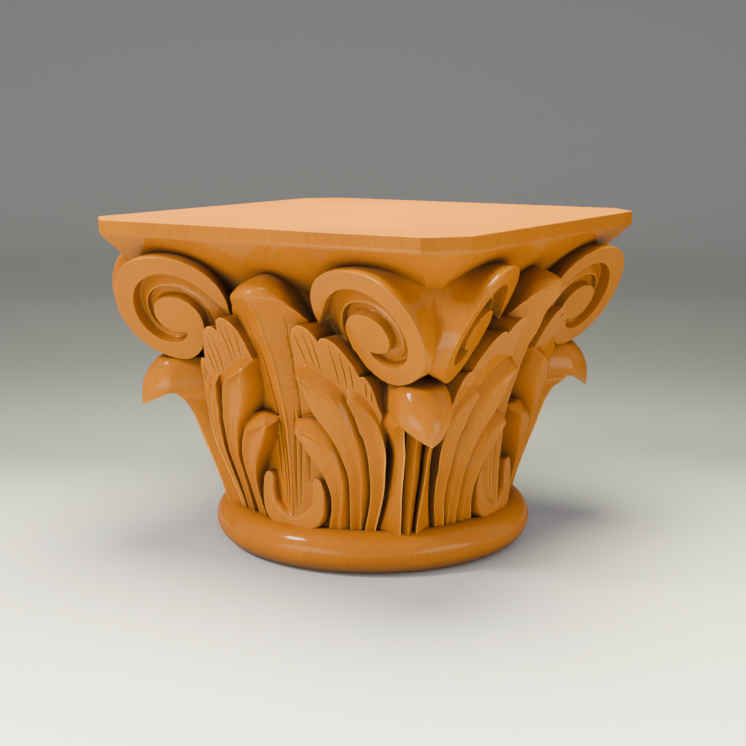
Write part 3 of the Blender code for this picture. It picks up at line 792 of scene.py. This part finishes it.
# %% Foot ring and board
def foot_ring():
    angle = np.radians(np.linspace(-90, 150, 40))
    below, within = (0.5 * RING_RADIUS, 0.0), (0.80 * RING_RADIUS, 1.9 * RING_TUBE)
    tube = [(RING_RADIUS + RING_TUBE * math.cos(a), RING_TUBE + RING_TUBE * math.sin(a))
            for a in angle]
    return turned("foot_ring", [below, *tube, within], 40)


def top_board():
    """The quarter of the board around one corner, from pairs of inset and height down its edge."""
    slant = math.atan(SLOPE_RUN)
    tangent = FASCIA_ROUND * math.tan(slant / 2)
    arris = 0.0007
    levels = [(arris * (1 - math.sin(a)), HEIGHT - arris * (1 - math.cos(a)))
              for a in np.radians([0, 22, 45, 68, 90])]
    for turn in np.linspace(0, slant, 12)[:-1]:
        levels.append((FASCIA_ROUND * (1 - math.cos(turn)),
                       EAVES + tangent - FASCIA_ROUND * math.sin(turn)))
    run = tangent * math.sin(slant)
    meeting = CORNER_CUT / (2 - math.sqrt(2))
    deep = 0.55 * HALF_BOARD
    for inset in (run, meeting, deep):
        levels.append((inset, EAVES - inset / SLOPE_RUN))
    past = -0.012
    rows = []
    for inset, up in levels:
        out = HALF_BOARD - inset
        side = min(HALF_BOARD - CORNER_CUT - (math.sqrt(2) - 1) * inset, out - SAME_POINT)
        rows.append([(past, -out, up), (side, -out, up), (out, -side, up), (out, -past, up),
                     (past, -past, up)])
    return body("board", rows, in_metres=True)


ring_body, board_body = foot_ring(), top_board()
print("foot ring:", faces_in(ring_body), "triangles, board:", faces_in(board_body))


# %% [markdown]
# One eighth is now cut clean at its two planes, the middle of a side and the diagonal. It is
# mirrored to make a side and turned to make all four, and the points on the cuts are welded.

# %% One clean eighth
def to_planes(work, reach):
    """Moves points that are almost on the two planes exactly onto them."""
    for vert in work.verts:
        if abs(vert.co.x) < reach:
            vert.co.x = 0
        if abs(vert.co.x + vert.co.y) < reach:
            vert.co.y = -vert.co.x


def one_eighth():
    """Carving, veins, ring and board as one mesh, open at the two planes."""
    block = melted_carving()
    combine(block, vein_cutter, "DIFFERENCE")
    combine(block, ring_body, "UNION")
    combine(block, board_body, "UNION")
    work = bmesh.new()
    work.from_mesh(block.data)
    bpy.data.objects.remove(block)
    bmesh.ops.remove_doubles(work, verts=work.verts, dist=NEARLY)
    for outward in (Vector((-1, 0, 0)), Vector((1, 1, 0)).normalized()):
        everything = work.verts[:] + work.edges[:] + work.faces[:]
        bmesh.ops.bisect_plane(work, geom=everything, dist=NEARLY, plane_co=(0, 0, 0),
                               plane_no=outward, clear_outer=True)
    to_planes(work, 2 * NEARLY)
    bmesh.ops.remove_doubles(work, verts=work.verts, dist=NEARLY)
    bmesh.ops.dissolve_degenerate(work, edges=work.edges, dist=NEARLY)
    to_planes(work, 2 * NEARLY)
    bmesh.ops.triangulate(work, faces=work.faces)
    flat = [face for face in work.faces if all(vert.co.x == 0 for vert in face.verts)
            or all(vert.co.x + vert.co.y == 0 for vert in face.verts)]
    bmesh.ops.delete(work, geom=flat, context="FACES")
    loose = [edge for edge in work.edges if not edge.link_faces]
    bmesh.ops.delete(work, geom=loose, context="EDGES")
    return work


# %% The whole skin from one eighth
SEAM = 0.0000002
SHARP = math.radians(42)
CHANGES = {"mirror": lambda x, y, z: (-x, y, z),
           "half turn": lambda x, y, z: (-x, -y, z),
           "quarter turn": lambda x, y, z: (-y, x, z)}


def whole_skin():
    """The eighth doubled three times, each time with a mirrored or turned copy of it all."""
    work = one_eighth()
    for change, moved in CHANGES.items():
        copied = bmesh.ops.duplicate(work, geom=work.verts[:] + work.edges[:] + work.faces[:])
        verts, faces = ([item for item in copied["geom"] if isinstance(item, kind)]
                        for kind in (bmesh.types.BMVert, bmesh.types.BMFace))
        for vert in verts:
            vert.co = moved(*vert.co)
        if change == "mirror":
            bmesh.ops.reverse_faces(work, faces=faces)
        bmesh.ops.remove_doubles(work, verts=work.verts, dist=SEAM)
    bmesh.ops.recalc_face_normals(work, faces=work.faces)
    open_edges = sum(len(edge.link_faces) != 2 for edge in work.edges)
    print("whole skin:", len(work.faces), "faces,", open_edges, "open edges")
    mesh = bpy.data.meshes.new("carved_skin")
    work.to_mesh(mesh)
    work.free()
    return add_object("carved_skin", mesh)


skin = whole_skin()
skin.data.shade_smooth()
skin.data.set_sharp_from_angle(angle=SHARP)
weights = skin.modifiers.new("flat_faces_first", "WEIGHTED_NORMAL")
weights.keep_sharp = True
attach(skin, "root")
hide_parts("carved_capital")


# %% [markdown]
# The wood is a fine-grained hardwood such as alder or lime, with an amber stain, finished with a
# clear gloss lacquer. To the eye that is an even honey colour with a faint grain that runs up
# the block, under a clear coat with small soft highlights. Shade is painted into the colour: the
# hollows of the carving are painted darker and browner. Highlights are painted too: every arris
# is drawn as a fine pale line. Both are found by ambient occlusion: rays into the air find the
# hollows, and short rays into the wood find the edges.
# The pores of such wood lie about 0.3 mm apart, too fine to show in the render, so the grain is
# drawn coarser, 2.4 mm apart. The softer patches of tone are about 70 mm across.

# %% Colours and a helper for nodes
def linear(hex_colour):
    """sRGB hex to the linear colour that shaders use."""
    channels = [int(hex_colour[i:i + 2], 16) / 255 for i in (1, 3, 5)]
    return [c / 12.92 if c <= 0.04045 else ((c + 0.055) / 1.055) ** 2.4
            for c in channels] + [1.0]


def add_node(tree, kind, settings=None, inputs=None):
    """A new node with settings, and inputs that are values or other nodes' sockets."""
    node = tree.nodes.new(kind)
    for name, value in (settings or {}).items():
        setattr(node, name, value)
    for name, value in (inputs or {}).items():
        if isinstance(value, bpy.types.NodeSocket):
            tree.links.new(value, node.inputs[name])
        else:
            node.inputs[name].default_value = value
    return node


# %% Lacquered wood
GRAIN_SPACING = 0.0024
GRAIN_STRETCH = 0.06
PATCHES_A_METRE = 14.0
# Reach and colour of the painted shade in the hollows and of the painted highlight on the edges,
# and the grain's two colours.
PAINTED_SHADE_REACH = 0.03
PAINTED_HIGHLIGHT_REACH = 0.0012
GRAIN_DARK, GRAIN_LIGHT = "#864C05", "#965807"
PAINTED_EDGE_HIGHLIGHT, PAINTED_HOLLOW_SHADE = "#B87C22", "#5C4630"


def lacquered_wood():
    material = bpy.data.materials.new("lacquered_wood")
    material.use_nodes = True
    tree = material.node_tree
    shader = tree.nodes["Principled BSDF"]
    place_node = add_node(tree, "ShaderNodeTexCoord")
    along_grain = add_node(tree, "ShaderNodeMapping", inputs={
        "Vector": place_node.outputs["Object"],
        "Scale": (1 / GRAIN_SPACING, 1 / GRAIN_SPACING, GRAIN_STRETCH / GRAIN_SPACING)})
    grain = add_node(tree, "ShaderNodeTexNoise", inputs={
        "Vector": along_grain.outputs["Vector"], "Scale": 1.0, "Detail": 3.0, "Roughness": 0.55})
    broad = add_node(tree, "ShaderNodeTexNoise", inputs={
        "Vector": place_node.outputs["Object"], "Scale": PATCHES_A_METRE, "Detail": 2.0})
    tone = add_node(tree, "ShaderNodeMix", {"data_type": "FLOAT"}, {
        0: 0.5, 2: grain.outputs["Fac"], 3: broad.outputs["Fac"]})
    colour = add_node(tree, "ShaderNodeValToRGB", inputs={"Fac": tone.outputs[0]})
    ramp = colour.color_ramp
    ramp.elements[0].position, ramp.elements[0].color = 0.30, linear(GRAIN_DARK)
    ramp.elements[1].position, ramp.elements[1].color = 0.70, linear(GRAIN_LIGHT)
    # Painted highlight: a paler colour along every convex edge, found by short occlusion rays into
    # the wood.
    highlight_edge_finder = add_node(tree, "ShaderNodeAmbientOcclusion", {"samples": 8, "inside": True}, {
        "Distance": PAINTED_HIGHLIGHT_REACH})
    away_from_painted_highlight = add_node(tree, "ShaderNodeMapRange", inputs={
        "Value": highlight_edge_finder.outputs["AO"], "From Min": 0.35, "From Max": 0.80})
    with_painted_highlight = add_node(tree, "ShaderNodeMix", {"data_type": "RGBA"}, {
        0: away_from_painted_highlight.outputs["Result"], 6: linear(PAINTED_EDGE_HIGHLIGHT), 7: colour.outputs["Color"]})
    # Painted shade: a darker, browner colour in the hollows, found by occlusion rays into the air.
    shade_finder = add_node(tree, "ShaderNodeAmbientOcclusion", {"samples": 8}, {"Distance": PAINTED_SHADE_REACH})
    outside_painted_shade = add_node(tree, "ShaderNodeMapRange", inputs={
        "Value": shade_finder.outputs["AO"], "From Min": 0.10, "From Max": 0.60})
    with_painted_shade = add_node(tree, "ShaderNodeMix", {"data_type": "RGBA"}, {
        0: outside_painted_shade.outputs["Result"], 6: linear(PAINTED_HOLLOW_SHADE), 7: with_painted_highlight.outputs[2]})
    tree.links.new(with_painted_shade.outputs[2], shader.inputs["Base Color"])
    finish = {"Roughness": 0.55, "Specular IOR Level": 0.0, "Coat Weight": 0.26,
              "Coat Roughness": 0.12, "Coat IOR": 1.5}
    for name, value in finish.items():
        shader.inputs[name].default_value = value
    return material


wood = lacquered_wood()
skin.data.materials.clear()
skin.data.materials.append(wood)
print("material:", wood.name, "with", len(wood.node_tree.nodes), "nodes")


# %% [markdown]
# The capital stands on a sheet of studio paper that curves up into the wall behind it, so that
# no horizon line shows. Its colour is painted light: graded from near white in front to mid grey
# behind like light falling off towards the back, which sets off the pale top of the board.

# %% Floor and backdrop
CAMERA_TURN, CAMERA_LIFT = math.radians(32.233), math.radians(10.907)
PAPER_FRONT, PAPER_WALL, PAPER_HEIGHT, PAPER_CURVE = -4.0, 2.0, 5.0, 1.2
PAPER_HALF_WIDTH, CURVE_STEPS = 6.0, 24
# Painted light: the paper's colour runs from near white in front to grey behind, in place of light
# that falls off towards the back.
PAPER_PAINTED_FALLOFF = [(-0.6, "#E2E3E8"), (-0.1, "#AEAFB6"), (0.25, "#66676F"), (0.65, "#5C5D62"),
               (1.3, "#666769"), (2.2, "#757677")]


def paper_with_painted_falloff():
    paper = bpy.data.materials.new("matt_paper_with_painted_falloff")
    paper.use_nodes = True
    tree = paper.node_tree
    shader = tree.nodes["Principled BSDF"]
    shader.inputs["Roughness"].default_value = 0.9
    shader.inputs["Specular IOR Level"].default_value = 0.1
    place_node = add_node(tree, "ShaderNodeTexCoord")
    axes = add_node(tree, "ShaderNodeSeparateXYZ", inputs={"Vector": place_node.outputs["Object"]})
    near, far = PAPER_PAINTED_FALLOFF[0][0], PAPER_PAINTED_FALLOFF[-1][0]
    # Painted light falloff along the paper, from front to back.
    along = add_node(tree, "ShaderNodeMapRange", inputs={
        "Value": axes.outputs["Y"], "From Min": near, "From Max": far})
    colour = add_node(tree, "ShaderNodeValToRGB", inputs={"Fac": along.outputs["Result"]})
    ramp = colour.color_ramp
    ramp.interpolation = "EASE"
    while len(ramp.elements) < len(PAPER_PAINTED_FALLOFF):
        ramp.elements.new(0.5)
    for stop, (at, tone) in zip(ramp.elements, PAPER_PAINTED_FALLOFF):
        stop.position, stop.color = (at - near) / (far - near), linear(tone)
    tree.links.new(colour.outputs["Color"], shader.inputs["Base Color"])
    return paper


def studio_floor():
    outline = [(PAPER_FRONT, 0.0), (PAPER_WALL, 0.0)]
    for step in range(1, CURVE_STEPS + 1):
        angle = math.pi / 2 * step / CURVE_STEPS
        outline.append((PAPER_WALL + PAPER_CURVE * math.sin(angle),
                        PAPER_CURVE * (1 - math.cos(angle))))
    outline.append((PAPER_WALL + PAPER_CURVE, PAPER_HEIGHT))
    points = [(across, along, up) for across in (-PAPER_HALF_WIDTH, PAPER_HALF_WIDTH)
              for along, up in outline]
    count = len(outline)
    faces = [(i, i + count, i + count + 1, i + 1) for i in range(count - 1)]
    mesh = bpy.data.meshes.new("studio_floor")
    mesh.from_pydata(points, [], faces)
    mesh.shade_smooth()
    mesh.materials.append(paper_with_painted_falloff())
    floor = add_object("studio_floor", mesh)
    floor.rotation_euler.z = CAMERA_TURN
    return floor


floor = studio_floor()
print("paper:", faces_in(floor), "faces")


# %% [markdown]
# Even light from all around brings out the form by the shade in its hollows. A round lamp high on
# the left draws the highlights in the lacquer, a warm one overhead makes the top of the board the
# brightest face, and two reflector cards on the floor in front light the board's sloped underside.
# The cards stand just inside the picture, so the camera is told not to see them.

# %% Lights
AIR_STRENGTH = 1.17


def area_light(name, place_at, size, power, colour, target=(0, 0, 0.12)):
    """A round lamp of so many metres and watts that shines at the target."""
    lamp = bpy.data.lights.new(name, "AREA")
    lamp.shape, lamp.size, lamp.energy = "DISK", size, power
    lamp.color = linear(colour)[:3]
    thing = add_object(name, lamp)
    thing.location = place_at
    thing.rotation_euler = (Vector(target) - Vector(place_at)).to_track_quat("-Z", "Y").to_euler()
    return thing


def from_camera(right, back, up):
    """The place so far to the camera's right, towards the camera, and above the floor."""
    turn = CAMERA_TURN
    across = Vector((math.cos(turn), math.sin(turn), 0))
    towards = Vector((math.sin(turn), -math.cos(turn), 0))
    return across * right + towards * back + Vector((0, 0, up))


area_light("key", from_camera(-1.5, 0.6, 1.5), size=0.45, power=60, colour="#FFF2E0")
for name, to_right in (("left_card", -0.28), ("right_card", 0.36)):
    card = area_light(name, from_camera(to_right, 0.34, 0.01), size=0.36, power=2.5,
                      colour="#FFEAC4", target=(0, 0, 0.30))
    card.visible_camera = False
area_light("overhead", (0, 0, 0.80), size=0.5, power=38, colour="#FFFFC4")

world = bpy.data.worlds.new("studio_air")
bpy.context.scene.world = world
world.use_nodes = True
air = world.node_tree.nodes["Background"]
air.inputs["Color"].default_value = linear("#FFFFFF")
air.inputs["Strength"].default_value = AIR_STRENGTH

# %% [markdown]
# The camera stands where the photograph was taken from: a little above the board, turned to show
# one corner and two sides. It stands back along a line of sight that passes above the origin.

# %% Camera
SENSOR, FOCAL_LENGTH = 36, 63.9
STAND_BACK, AIM_RIGHT, AIM_UP = 1.01217, 0.000225, 0.11775
level = math.cos(CAMERA_LIFT)
back = Vector((math.sin(CAMERA_TURN) * level, -math.cos(CAMERA_TURN) * level,
               math.sin(CAMERA_LIFT)))
right = Vector((math.cos(CAMERA_TURN), math.sin(CAMERA_TURN), 0))
up = back.cross(right)
lens = bpy.data.cameras.new("camera")
lens.sensor_width = SENSOR
lens.lens = FOCAL_LENGTH
camera = add_object("camera", lens)
spot = back * STAND_BACK + right * AIM_RIGHT + up * AIM_UP
camera.matrix_world = Matrix.Translation(spot) @ Matrix((right, up, back)).transposed().to_4x4()
bpy.context.scene.camera = camera
print("camera at", [round(value, 3) for value in camera.matrix_world.translation])
